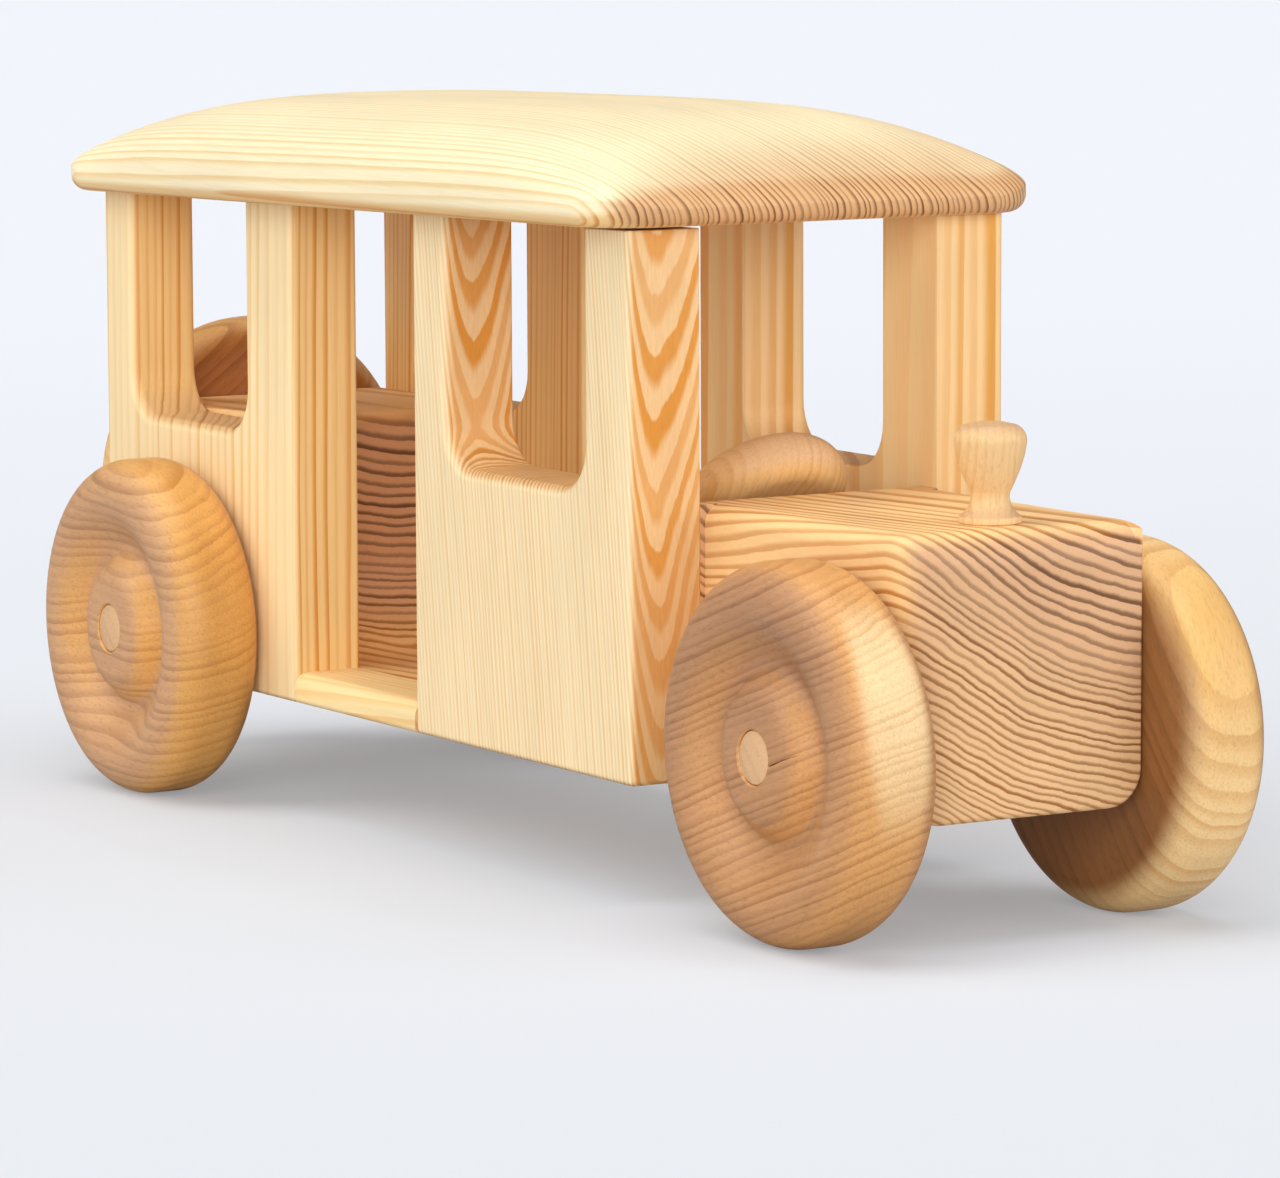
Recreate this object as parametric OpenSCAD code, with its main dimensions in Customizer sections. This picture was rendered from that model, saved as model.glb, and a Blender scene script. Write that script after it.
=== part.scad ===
/* [Wheels] */
// Diameter of the four road wheels and the spare
wheel_d = 70; // [66:1:74]
// Thickness of a wheel across its rim
wheel_t = 20; // [18:0.5:22]
// Rounding of the rim on each side of the tread
rim_r = 7.6; // [6:0.2:8.4]
// Diameter of the domed hub inside the turned groove
hub_d = 33.6; // [30:0.4:36]
// Depth of the groove below the wheel's outer face
groove_depth = 4.2; // [2:0.2:4.6]
// Diameter of the axle dowels and the spare wheel's peg
axle_d = 10; // [8:0.5:12]
// Distance between the front and the rear axle
wheelbase = 226; // [220:1:234]

/* [Block] */
// Width of the base block between the side panels
block_w = 53; // [48:0.5:56]
// Amount planed off each side of the bonnet for the front wheels
bonnet_inset = 1.3; // [0.6:0.1:2.5]
// Height of the bonnet above the underside
bonnet_h = 52; // [48:1:56]
// Height of the rear block above the underside
rear_block_h = 55; // [52:1:58]
// Thickness of the cabin floor
floor_t = 6.2; // [5:0.2:7]
// Radius of the coves where the floor meets the bonnet and the rear block
floor_cove_r = 20; // [14:1:24]
// Axle centres above the underside
axle_rise = 12; // [10:0.5:14]
// Front axle to the bonnet's nose
nose_reach = 20.5; // [18:0.5:24]
// Front axle to the front panels, along the open part of the bonnet
bonnet_reach = 48; // [46:0.5:52]
// Length of the bonnet that lies between the front panels
bonnet_lap = 4; // [2:0.5:5]
// Rear axle to the block's rear face
tail_reach = 43; // [40:0.5:46]
// Rear axle to the rear block's front face
rear_block_reach = 13; // [11:0.5:16]
// Rounding of the bonnet's top front edge
nose_r = 8; // [6:0.5:9]
// Rounding of the bonnet's lower side edges
belly_r = 8; // [5:0.5:10]
// Rounding of the bonnet's upper side edges and upright front edges
bonnet_edge_r = 4.5; // [2:0.5:6]
// Rounding of the rear block's top front edge
bench_edge_r = 6; // [3:0.5:9]

/* [Panels] */
// Thickness of the side panels
panel_t = 15.3; // [13:0.1:18]
// Width of a front panel along the body
front_panel_l = 82.8; // [80:0.2:86]
// Width of a rear panel along the body
rear_panel_l = 85.4; // [82:0.2:88]
// Setback of the rear panels from the block's rear face
rear_setback = 2.3; // [0:0.1:4]
// Post at the front of a front panel
windscreen_post = 17.5; // [15:0.5:20]
// Post behind a front panel's window
door_front_post = 13.3; // [12:0.1:16]
// Post in front of a rear panel's window
door_rear_post = 21.1; // [18:0.1:24]
// Post at the rear of a rear panel
tail_post = 12.8; // [12:0.1:16]
// Window sills above the underside
sill_h = 54; // [50:1:58]
// Radius of the windows' lower corners
window_r = 9; // [5:0.5:12]
// Thickness of the door sills
door_sill_t = 6.2; // [5:0.2:7]
// Rounding of a door sill's outer top edge
door_sill_r = 3; // [1:0.5:4]

/* [Roof] */
// Underside of the roof at its middle, above the body's underside
roof_rise = 102.4; // [98:0.2:108]
// Upward slope of the roof towards the front, in degrees
roof_pitch = 0.8; // [0:0.1:1.5]
// Thickness of the roof at its crown
roof_t = 22; // [20:0.5:25]
// Height of the edge band that runs round the roof
edge_t = 6.4; // [5:0.2:7]
// Radius of the shoulder between the crown and a side's edge band
shoulder_r = 11.6; // [8:0.2:12]
// Length of the falling stretch at each end
end_run = 65; // [56:1:72]
// Height that the corners keep over a plain sweep of the crown
corner_ease = 2.2; // [1:0.2:4]
// Radius of the roof's corners in plan
roof_corner_r = 14; // [8:1:18]
// Rounding of the roof's lower edges
under_r = 4; // [2:0.5:5]
// Overhang of the roof beyond the front panels
roof_front_overhang = 5.6; // [5:0.2:9]
// Overhang of the roof beyond the rear panels
roof_rear_overhang = 10; // [5:0.2:12]
// Overhang of the roof beyond each side
roof_side_overhang = 8; // [5:0.1:10]
// Diameter of the hidden dowels between the posts and the roof
roof_dowel_d = 6; // [5:0.5:7]
// Depth of a roof dowel in its post
roof_dowel_down = 12; // [8:1:16]
// Depth of a roof dowel in the roof
roof_dowel_up = 7; // [5:0.5:8]

/* [Fittings] */
// Diameter of the steering wheel
steering_d = 34; // [30:1:38]
// Thickness of the steering wheel's rim
steering_t = 10.5; // [8:0.5:12]
// Diameter of the steering column
column_d = 8; // [6:0.5:9]
// Angle of the column above the horizontal
column_angle = 48; // [44:1:54]
// Centre of the steering wheel behind the bonnet's rear face
steering_back = 16.5; // [15:0.5:19]
// Centre of the steering wheel above the underside
steering_rise = 50; // [48:0.5:53]
// Depth of the column's bore in the bonnet
column_depth = 22; // [16:1:26]
// Centre of the spare wheel above the underside
spare_rise = 36; // [33:0.5:42]
// Depth of the spare wheel's peg in the rear block
peg_depth = 26; // [18:1:28]
// Front axle to the radiator cap
cap_reach = 6.5; // [3:0.5:7]
// Height of the radiator cap
cap_h = 18.4; // [16:0.2:21]
// Diameter of the cap's head
cap_head_d = 13.4; // [12:0.2:15]
// Diameter of the cap's neck
cap_neck_d = 7.4; // [6.6:0.2:8.4]
// Diameter of the cap's foot
cap_foot_d = 11; // [10:0.2:12]
// Height of the straight part of the cap's foot
cap_foot_h = 1.6; // [1:0.2:2.4]
// Height where the foot has tapered to the neck
cap_neck_start = 5; // [4.4:0.2:5.6]
// Height where the neck starts to swell to the head
cap_neck_end = 6.6; // [6:0.2:8]
// Rounding of the head's top edge
cap_edge_r = 3.7; // [2:0.1:5]
// Diameter of the cap's tenon
tenon_d = 6; // [4:0.5:6.5]
// Length of the cap's tenon
tenon_l = 10; // [6:0.5:14]

/* [Clearances] */
// Gap round a shaft that turns
running_gap = 0.05; // [0.02:0.01:0.09]
// Gap round a dowel that is glued
glue_gap = 0.05; // [0.02:0.01:0.09]
// Gap between a wheel and the side that it runs beside
wheel_gap = 0.6; // [0.4:0.1:1.5]
// Room at the closed end of a drilled hole
end_gap = 0.3; // [0.1:0.1:0.5]

/* [Hidden] */
$fn = 96;
// Margin that carries a cut past the surface that it opens
through = 1;
wheel_r = wheel_d / 2;
axle_r = axle_d / 2;
// The underside of the body, in height
belly_z = wheel_r - axle_rise;
total_l = wheel_r + wheelbase + tail_reach + wheel_t;
front_axle_x = total_l / 2 - wheel_r;
rear_axle_x = front_axle_x - wheelbase;
nose_x = front_axle_x + nose_reach;
bonnet_x = front_axle_x - bonnet_reach;
bonnet_rear_x = bonnet_x - bonnet_lap;
tail_x = rear_axle_x - tail_reach;
rear_block_x = rear_axle_x + rear_block_reach;
block_half = block_w / 2;
bonnet_half = block_half - bonnet_inset;
side_half = block_half + panel_t;
front_panel_x = bonnet_x - front_panel_l;
rear_panel_x = tail_x + rear_setback;
door_x = rear_panel_x + rear_panel_l;
front_wheel_y = bonnet_half + wheel_gap + wheel_t / 2;
rear_wheel_y = side_half + wheel_gap + wheel_t / 2;
// Turned face of a wheel: a domed hub, a sharp groove round it, and a round face out to the rim
hub_r = hub_d / 2;
hub_dome_r = (hub_r * hub_r + groove_depth * groove_depth) / (2 * groove_depth);
hub_flat = sqrt(hub_dome_r * hub_dome_r - axle_r * axle_r) - hub_dome_r + wheel_t / 2;
face_reach = wheel_r - rim_r - hub_r;
face_r = (face_reach * face_reach + groove_depth * groove_depth) / (2 * groove_depth);
// Roof slab, its crown and its falling ends
roof_l = bonnet_x + roof_front_overhang - rear_panel_x + roof_rear_overhang;
roof_x = bonnet_x + roof_front_overhang - roof_l / 2;
roof_z = belly_z + roof_rise;
roof_half = side_half + roof_side_overhang;
end_fall = roof_t - edge_t;
end_r = (end_run * end_run + end_fall * end_fall) / (2 * end_fall);
end_angle = asin((end_run + through) / end_r);
shoulder_y = roof_half - shoulder_r;
crown_r = (shoulder_y * shoulder_y + end_fall * end_fall - shoulder_r * shoulder_r)
    / (2 * (end_fall - shoulder_r));
middle_l = roof_l - 2 * end_run;
post_y = block_half + panel_t / 2;
post_x = [
    rear_panel_x + tail_post / 2,
    door_x - door_rear_post / 2,
    front_panel_x + door_front_post / 2,
    bonnet_x - windscreen_post / 2
];
// Steering wheel and its sloping column
steering_x = bonnet_rear_x - steering_back;
steering_z = belly_z + steering_rise;
column_free = steering_back / cos(column_angle);
spare_z = belly_z + spare_rise;
cap_x = front_axle_x + cap_reach;
cap_z = belly_z + bonnet_h;

// Height of the roof's underside at a place along the body
function roof_under(x) = roof_z + (x - roof_x) * tan(roof_pitch);

// A flat outline drawn along X and Z, made solid from one Y to another
module upright(y0, y1) {
    translate([0, y1, 0]) rotate([90, 0, 0]) linear_extrude(y1 - y0) children();
}

// A flat outline drawn along Y and Z, made solid from one X to another
module crosswise(x0, x1) {
    translate([x0, 0, 0]) rotate([90, 0, 90]) linear_extrude(x1 - x0) children();
}

// What is cut off a square corner at the origin to round it towards +X and +Y
module corner_cut(r) {
    difference() {
        translate([-through, -through]) square(r + through);
        translate([r, r]) circle(r);
    }
}

// A rectangle from one point to another
module block_outline(x0, z0, x1, z1) {
    translate([x0, z0]) square([x1 - x0, z1 - z0]);
}

// The block seen from the side: bonnet, thin cabin floor with coves, rear block
module block_side() {
    floor_z = belly_z + floor_t;
    cove_z = floor_z + floor_cove_r;
    rear_cove_x = rear_block_x + floor_cove_r;
    front_cove_x = bonnet_rear_x - floor_cove_r;
    difference() {
        union() {
            block_outline(tail_x, belly_z, rear_block_x, belly_z + rear_block_h);
            block_outline(tail_x, belly_z, nose_x, floor_z);
            block_outline(bonnet_rear_x, belly_z, nose_x, belly_z + bonnet_h);
            difference() {
                block_outline(rear_block_x, belly_z, bonnet_rear_x, cove_z);
                translate([rear_cove_x, cove_z]) circle(floor_cove_r);
                translate([front_cove_x, cove_z]) circle(floor_cove_r);
                block_outline(rear_cove_x, floor_z, front_cove_x, cove_z + through);
            }
        }
        translate([rear_block_x, belly_z + rear_block_h]) rotate(180) corner_cut(bench_edge_r);
        translate([nose_x, belly_z + bonnet_h]) rotate(180) corner_cut(nose_r);
    }
}

// The bonnet seen from the front, with round upper and lower side edges
module bonnet_front() {
    top_z = belly_z + bonnet_h;
    difference() {
        block_outline(-bonnet_half, belly_z, bonnet_half, top_z);
        for (side = [0, 1]) mirror([side, 0]) {
            translate([-bonnet_half, belly_z]) corner_cut(belly_r);
            translate([-bonnet_half, top_z]) rotate(-90) corner_cut(bonnet_edge_r);
        }
    }
}

// The bonnet seen from above, with round upright edges at the nose
module bonnet_plan() {
    difference() {
        translate([bonnet_x - through, -bonnet_half]) square([nose_x - bonnet_x + through, 2 * bonnet_half]);
        translate([nose_x, -bonnet_half]) rotate(90) corner_cut(bonnet_edge_r);
        translate([nose_x, bonnet_half]) rotate(180) corner_cut(bonnet_edge_r);
    }
}

// A straight round bore or dowel along Y
module along_y(x, z, r, half_l) {
    translate([x, half_l, z]) rotate([90, 0, 0]) cylinder(r = r, h = 2 * half_l);
}

// A round bore or dowel along the steering column, from one place on it to another
module along_column(r, from, to) {
    translate([steering_x, 0, steering_z]) rotate([0, column_angle - 90, 0])
        translate([0, 0, from]) cylinder(r = r, h = to - from);
}

module chassis_block() {
    color("#E2B070") difference() {
        union() {
            intersection() {
                upright(-block_half, block_half) block_side();
                translate([tail_x, -block_half, belly_z])
                    cube([bonnet_x - tail_x, block_w, rear_block_h]);
            }
            intersection() {
                upright(-bonnet_half, bonnet_half) block_side();
                crosswise(bonnet_x, nose_x) bonnet_front();
                translate([0, 0, belly_z]) linear_extrude(bonnet_h) bonnet_plan();
            }
        }
        along_y(front_axle_x, wheel_r, axle_r + running_gap, block_half + through);
        along_y(rear_axle_x, wheel_r, axle_r + running_gap, block_half + through);
        along_column(column_d / 2 + running_gap, -column_free - column_depth - end_gap, -column_free / 2);
        translate([tail_x - through, 0, spare_z]) rotate([0, 90, 0])
            cylinder(r = axle_r + glue_gap, h = peg_depth + end_gap + through);
        translate([cap_x, 0, cap_z - tenon_l - end_gap])
            cylinder(r = tenon_d / 2 + glue_gap, h = tenon_l + end_gap + through);
    }
}

// A side panel's outline: a board with a window that is open to the roof
module panel_side(x0, x1, window_x0, window_x1) {
    sill_z = belly_z + sill_h;
    top_z = roof_under(x1) + roof_t;
    difference() {
        polygon([[x0, belly_z], [x1, belly_z], [x1, roof_under(x1)], [x0, roof_under(x0)]]);
        difference() {
            block_outline(window_x0, sill_z, window_x1, top_z);
            translate([window_x0, sill_z]) corner_cut(window_r);
            translate([window_x1, sill_z]) rotate(90) corner_cut(window_r);
        }
    }
}

// The blind holes or the dowels that join every post to the roof
module roof_pins(gap, ends) {
    for (side = [-1, 1]) for (x = post_x)
        translate([x, side * post_y, roof_under(x) - roof_dowel_down - ends])
            cylinder(r = roof_dowel_d / 2 + gap, h = roof_dowel_down + roof_dowel_up + 2 * ends);
}

// A front panel on the side given by 1 for left or -1 for right
module front_panel(side) {
    y0 = side > 0 ? block_half : -side_half;
    color("#F3D49B") difference() {
        upright(y0, y0 + panel_t) panel_side(
            front_panel_x, bonnet_x, front_panel_x + door_front_post, bonnet_x - windscreen_post);
        roof_pins(glue_gap, end_gap);
    }
}

// A rear panel on the side given by 1 for left or -1 for right
module rear_panel(side) {
    y0 = side > 0 ? block_half : -side_half;
    color("#F3D49B") difference() {
        upright(y0, y0 + panel_t) panel_side(
            rear_panel_x, door_x, rear_panel_x + tail_post, door_x - door_rear_post);
        roof_pins(glue_gap, end_gap);
        along_y(rear_axle_x, wheel_r, axle_r + running_gap, side_half + through);
    }
}

module front_right_panel() front_panel(-1);
module front_left_panel() front_panel(1);
module rear_right_panel() rear_panel(-1);
module rear_left_panel() rear_panel(1);

// A strip that closes the foot of a doorway, with its outer top edge rounded
module door_sill(side) {
    sill_z = belly_z + door_sill_t;
    color("#EDBE7A") mirror([0, side > 0 ? 0 : 1, 0]) crosswise(door_x, front_panel_x) difference() {
        block_outline(block_half, belly_z, side_half, sill_z);
        translate([side_half, sill_z]) rotate(180) corner_cut(door_sill_r);
    }
}

module right_door_sill() door_sill(-1);
module left_door_sill() door_sill(1);

// The roof's cross section, with its height along X: a wide crown arc between two shoulder arcs
module crown_outline(top) {
    base = top - roof_t;
    wedge = (crown_r + through) * shoulder_y / (crown_r - end_fall);
    intersection() {
        translate([base - through, -roof_half]) square([roof_t + 2 * through, 2 * roof_half]);
        union() {
            intersection() {
                translate([top - crown_r, 0]) circle(crown_r, $fn = 360);
                polygon([[top - crown_r, 0], [top + through, -wedge], [top + through, wedge]]);
            }
            for (side = [-1, 1]) translate([base + edge_t, side * shoulder_y]) circle(shoulder_r);
            translate([base - through, -roof_half]) square([edge_t + through, 2 * roof_half]);
        }
    }
}

// The roof's outline along the body: flat in the middle, with a wide arc down to each end's band
module length_outline() {
    block_outline(-middle_l / 2, -through, middle_l / 2, roof_t);
    for (end = [0, 1]) mirror([end, 0]) intersection() {
        translate([middle_l / 2, roof_t - end_r]) circle(end_r, $fn = 360);
        block_outline(middle_l / 2, -through, roof_l / 2, roof_t);
    }
}

// A rectangle with round corners, centred
module rounded_plan(l, w, r) {
    difference() {
        square([l, w], center = true);
        for (a = [0, 1]) for (b = [0, 1]) mirror([a, 0]) mirror([0, b])
            translate([-l / 2, -w / 2]) corner_cut(r);
    }
}

// The cross section swept along the body: straight in the middle and bent down at both ends
module swept_crown() {
    crosswise(-middle_l / 2, middle_l / 2) rotate(90) crown_outline(roof_t);
    for (end = [0, 1]) mirror([end, 0, 0])
        translate([middle_l / 2, 0, roof_t - end_r]) rotate([-90, 0, 0]) rotate([0, 0, -90])
            rotate_extrude(angle = end_angle, $fn = 360) crown_outline(end_r);
}

// What rounds the roof's lower edges, along both sides and both ends
module under_cuts() {
    for (flip = [0, 1]) {
        mirror([0, flip, 0]) crosswise(-roof_l / 2 - through, roof_l / 2 + through)
            translate([-roof_half, 0]) corner_cut(under_r);
        mirror([flip, 0, 0]) upright(-roof_half - through, roof_half + through)
            translate([-roof_l / 2, 0]) corner_cut(under_r);
    }
}

// The roof by itself, with the middle of its underside at the origin
module roof_slab() {
    difference() {
        intersection() {
            linear_extrude(roof_t + through) rounded_plan(roof_l, 2 * roof_half, roof_corner_r);
            union() {
                linear_extrude(edge_t) square([roof_l, 2 * roof_half], center = true);
                intersection() {
                    upright(-roof_half, roof_half) length_outline();
                    crosswise(-roof_l / 2, roof_l / 2) rotate(90) crown_outline(roof_t);
                    translate([0, 0, corner_ease]) swept_crown();
                }
            }
        }
        under_cuts();
    }
}

module roof() {
    color("#F7DFAE") difference() {
        translate([roof_x, 0, roof_z]) rotate([0, -roof_pitch, 0]) roof_slab();
        roof_pins(glue_gap, end_gap);
    }
}

module roof_dowels() color("#D9B382") roof_pins(0, 0);

module front_axle() color("#D9B382") along_y(front_axle_x, wheel_r, axle_r, front_wheel_y + hub_flat);
module rear_axle() color("#D9B382") along_y(rear_axle_x, wheel_r, axle_r, rear_wheel_y + hub_flat);

// Half section of a wheel: round rim, and a groove and domed hub on the outer face
module wheel_section() {
    rim_x = wheel_r - rim_r;
    tread = wheel_t / 2 - rim_r;
    face = wheel_t / 2;
    difference() {
        union() {
            block_outline(axle_r + glue_gap, -face, rim_x, face);
            block_outline(rim_x, -tread, wheel_r, tread);
            for (side = [-1, 1]) translate([rim_x, side * tread]) intersection() {
                circle(rim_r);
                translate([0, -rim_r]) square([rim_r, 2 * rim_r]);
            }
        }
        difference() {
            block_outline(hub_r, face - groove_depth, rim_x, face + through);
            translate([rim_x, face - face_r]) circle(face_r);
        }
        difference() {
            block_outline(0, face - groove_depth, hub_r, face + through);
            translate([0, face - hub_dome_r]) circle(hub_dome_r);
        }
    }
}

module wheel() color("#B98A5C") rotate_extrude() wheel_section();

// A road wheel with its turned face outwards, on the side given by 1 for left or -1 for right
module road_wheel(x, y, side) {
    translate([x, side * y, wheel_r]) rotate([-90 * side, 0, 0]) wheel();
}

module front_right_wheel() road_wheel(front_axle_x, front_wheel_y, -1);
module front_left_wheel() road_wheel(front_axle_x, front_wheel_y, 1);
module rear_right_wheel() road_wheel(rear_axle_x, rear_wheel_y, -1);
module rear_left_wheel() road_wheel(rear_axle_x, rear_wheel_y, 1);

module spare_wheel() translate([tail_x - wheel_t / 2, 0, spare_z]) rotate([0, -90, 0]) wheel();

module spare_wheel_peg() {
    color("#D9B382") translate([tail_x - wheel_t / 2 - hub_flat, 0, spare_z]) rotate([0, 90, 0])
        cylinder(r = axle_r, h = wheel_t / 2 + hub_flat + peg_depth);
}

// Half section of the steering wheel: a disc with a full round rim
module steering_section() {
    rim = steering_t / 2;
    block_outline(column_d / 2 + glue_gap, -rim, steering_d / 2 - rim, rim);
    translate([steering_d / 2 - rim, 0]) intersection() {
        circle(rim);
        translate([0, -rim]) square([rim, steering_t]);
    }
}

module steering_wheel() {
    color("#D8AC72") translate([steering_x, 0, steering_z]) rotate([0, column_angle - 90, 0])
        rotate_extrude() steering_section();
}

module steering_column() {
    color("#D9B382") along_column(column_d / 2, -column_free - column_depth, steering_t / 2);
}

// Half section of the cap: foot, neck, head that swells upwards, round top edge, and a tenon below
module cap_section() {
    head_r = cap_head_d / 2;
    neck_r = cap_neck_d / 2;
    foot_r = cap_foot_d / 2;
    block_outline(0, -tenon_l, tenon_d / 2, through);
    polygon([
        [0, 0], [foot_r, 0], [foot_r, cap_foot_h], [neck_r, cap_neck_start], [neck_r, cap_neck_end],
        [head_r, cap_h - cap_edge_r], [head_r - cap_edge_r, cap_h], [0, cap_h]
    ]);
    translate([head_r - cap_edge_r, cap_h - cap_edge_r]) intersection() {
        circle(cap_edge_r);
        square(cap_edge_r);
    }
}

module radiator_cap() color("#E0B678") translate([cap_x, 0, cap_z]) rotate_extrude() cap_section();

chassis_block();
front_right_panel();
front_left_panel();
rear_right_panel();
rear_left_panel();
right_door_sill();
left_door_sill();
roof();
roof_dowels();
front_axle();
rear_axle();
front_right_wheel();
front_left_wheel();
rear_right_wheel();
rear_left_wheel();
spare_wheel();
spare_wheel_peg();
steering_wheel();
steering_column();
radiator_cap();
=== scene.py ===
"""A wooden toy bus: pine boards on a pine block, a crowned roof, and turned wheels on dowel axles."""

import math

import bmesh
import bpy
from mathutils import Matrix, Vector


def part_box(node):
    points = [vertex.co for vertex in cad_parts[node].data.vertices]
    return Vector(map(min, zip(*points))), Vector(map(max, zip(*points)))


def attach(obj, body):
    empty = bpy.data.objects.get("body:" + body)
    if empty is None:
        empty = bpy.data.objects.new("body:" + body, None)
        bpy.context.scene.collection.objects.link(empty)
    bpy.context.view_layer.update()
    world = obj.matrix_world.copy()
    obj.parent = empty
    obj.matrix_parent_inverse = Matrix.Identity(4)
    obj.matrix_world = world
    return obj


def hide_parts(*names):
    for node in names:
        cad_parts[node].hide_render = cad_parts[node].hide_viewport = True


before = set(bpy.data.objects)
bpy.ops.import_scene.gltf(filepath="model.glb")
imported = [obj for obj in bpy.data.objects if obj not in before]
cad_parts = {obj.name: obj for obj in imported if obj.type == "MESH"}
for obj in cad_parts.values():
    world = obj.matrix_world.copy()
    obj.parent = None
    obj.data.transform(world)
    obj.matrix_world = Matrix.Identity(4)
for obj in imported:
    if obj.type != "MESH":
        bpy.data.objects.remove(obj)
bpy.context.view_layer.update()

# Sizes are in millimetres, in the part's own frame: X forwards, Y to the left, Z up
MM = 0.001


def span(node):
    """The lowest and the highest corner of a CAD node."""
    low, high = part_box(node)
    return low / MM, high / MM


# Places that the solid parts give
BLOCK_LOW, BLOCK_HIGH = span("chassis_block")
FRONT_LOW, FRONT_HIGH = span("front_left_panel")
REAR_LOW, REAR_HIGH = span("rear_left_panel")
FRONT_WHEEL_LOW, FRONT_WHEEL_HIGH = span("front_left_wheel")
STEERING_LOW, STEERING_HIGH = span("steering_wheel")
CAP_LOW, CAP_HIGH = span("radiator_cap")
ROOF_LOW, ROOF_HIGH = span("roof")

BELLY_Z = BLOCK_LOW.z
BLOCK_HALF = FRONT_LOW.y
SIDE_HALF = FRONT_HIGH.y
BONNET_X = FRONT_HIGH.x

# Block
BONNET_HALF = 25.5
BONNET_TOP = 75.0
BONNET_LAP = 4.0
BONNET_REAR_X = BONNET_X - BONNET_LAP
REAR_BLOCK_X = -86.0
FLOOR_TOP = 29.2
COVE_R = 20.0
BENCH_EDGE_R = 6.0
NOSE_R = 6.8
BELLY_R = 7.0
BONNET_RIGHT_R = 3.6
BONNET_LEFT_R = 1.2
NOSE_RIGHT_R = 9.0
NOSE_LEFT_R = 0.8
NOSE_CORNER_R = 0.6
SMALL_EDGE_R = 1.2

# Panels
WINDSCREEN_POST = 17.5
DOOR_FRONT_POST = 13.3
DOOR_REAR_POST = 21.1
TAIL_POST = 12.8
LEFT_POST_EXTRA = 1.8
LEFT_DOOR_POST_EXTRA = 3.3
SILL_Z = 77.0
WINDOW_R = 9.0
WINDOW_EDGE_R = 2.4
POST_EDGE_R = 1.5
TOP_EDGE_R = 0.3
DOOR_SILL_EDGE_R = 3.0
JOINT_GAP = 0.5

# Roof
ROOF_PITCH = 0.8
ROOF_RISE = 16.2
ROOF_CORNER_R = 14.2
ROOF_UNDER_R = 3.4
ROOF_OVER_H = 1.8
ROOF_OVER_REACH = 5.5
ROOF_END_POWER = 5.0
ROOF_END_SOFT = 1.05
ROOF_SIDE_POWER = 2.78
ROOF_SIDE_SOFT = 0.37
ROOF_END_CLEAR = 0.3
ROOF_MERGE = 0.005

# Turned pieces
AXLE_R = 5.0
DOWEL_SEGMENTS = 64
AXLE_BORE_R = 5.05
BORE_CHAMFER = 0.3
TREAD_CLEAR = 0.01
WHEEL_R = (FRONT_WHEEL_HIGH.z - FRONT_WHEEL_LOW.z) / 2 - TREAD_CLEAR
WHEEL_HALF = (FRONT_WHEEL_HIGH.y - FRONT_WHEEL_LOW.y) / 2
RIM_R = 7.6
HUB_R = 16.4
HUB_DROP = 0.4
HUB_FULLNESS = 2.4
DISH_HASTE = 0.8
GROOVE_DEPTH = 5.4
CRACK_START = Vector((5.2, 0, -1.0))
CRACK_END = Vector((13.5, 0, 2.2))
CRACK_HALF = 0.18
CRACK_DEPTH = 3.6
STEERING_R = 17.0
STEERING_HALF = 5.25
COLUMN_R = 4.0
COLUMN_BORE_R = 4.05
COLUMN_ANGLE = math.radians(48.0)
END_GAP = 0.3
CAP_H = 18.4
CAP_OFFSET = 1.4
steering_centre = (STEERING_LOW + STEERING_HIGH) / 2
column_axis = Vector((-math.cos(COLUMN_ANGLE), 0, math.sin(COLUMN_ANGLE)))
COLUMN_LOW, COLUMN_HIGH = span("steering_column")
COLUMN_L = (COLUMN_HIGH.x - COLUMN_LOW.x - 2 * COLUMN_R * math.sin(COLUMN_ANGLE)) / math.cos(COLUMN_ANGLE)
COLUMN_BORE_L = COLUMN_L - STEERING_HALF + END_GAP


def linear(code):
    """A colour written as sRGB hex, as linear red, green, blue and alpha."""
    parts = [int(code[i:i + 2], 16) / 255 for i in (1, 3, 5)]
    return tuple(c / 12.92 if c <= 0.04045 else ((c + 0.055) / 1.055) ** 2.4 for c in parts) + (1.0,)


def add(tree, kind, links=None, take=0, **settings):
    """Adds a node with its settings, links or fills its inputs, and gives the output that is asked for."""
    new = tree.nodes.new(kind)
    for name, value in settings.items():
        setattr(new, name, value)
    for name, value in (links or {}).items():
        if isinstance(value, bpy.types.NodeSocket):
            tree.links.new(value, new.inputs[name])
        else:
            new.inputs[name].default_value = value
    return new.outputs[take] if len(new.outputs) else new


# Materials

# Oiled pine: amber earlywood, darker honey latewood, end grain that drinks the oil, and a paler side that is
# painted light, the sheen of a lit face
PINE = {
    "early": "#F7CF8C", "late": "#DE9338", "early_end": "#EDC48C", "late_end": "#C48A4A",
    "early_pale": "#FFECC6", "late_pale": "#F0CB8E", "rise": 0.42, "crest": 0.86, "faint": 0.45,
    "fibre": 0.09, "fleck": 0.0, "rough": 0.50,
}
# Oiled alder: orange on the tread and paler where the tread is end grain, partly a painted highlight; pinkish
# brown with faint rings and flecks on the turned face
ALDER = {
    "early": "#EBB469", "late": "#D3944C", "early_end": "#F6D094", "late_end": "#E6B272",
    "early_pale": "#BC8A62", "late_pale": "#9E6E48", "rise": 0.25, "crest": 0.90, "faint": 0.20,
    "fibre": 0.14, "fleck": 0.18, "rough": 0.46,
}
# Plain beech: pale tan with fine specks
BEECH = {
    "early": "#F0C88F", "late": "#E3B578", "early_end": "#DEB284", "late_end": "#D2A474",
    "early_pale": "#F2D2A0", "late_pale": "#E8C08A", "rise": 0.35, "crest": 0.90, "faint": 0.20,
    "fibre": 0.10, "fleck": 0.14, "rough": 0.48,
}


# Half the distance over which heartwood turns to sapwood
HEART_REACH = 18.0
# Width and length of the slow wander of the rings, of a short ripple and of a fine tremble, and their share
BENDS = ((22, 140, 4.0), (5, 70, 1.0), (1.1, 25, 0.3))
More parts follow.
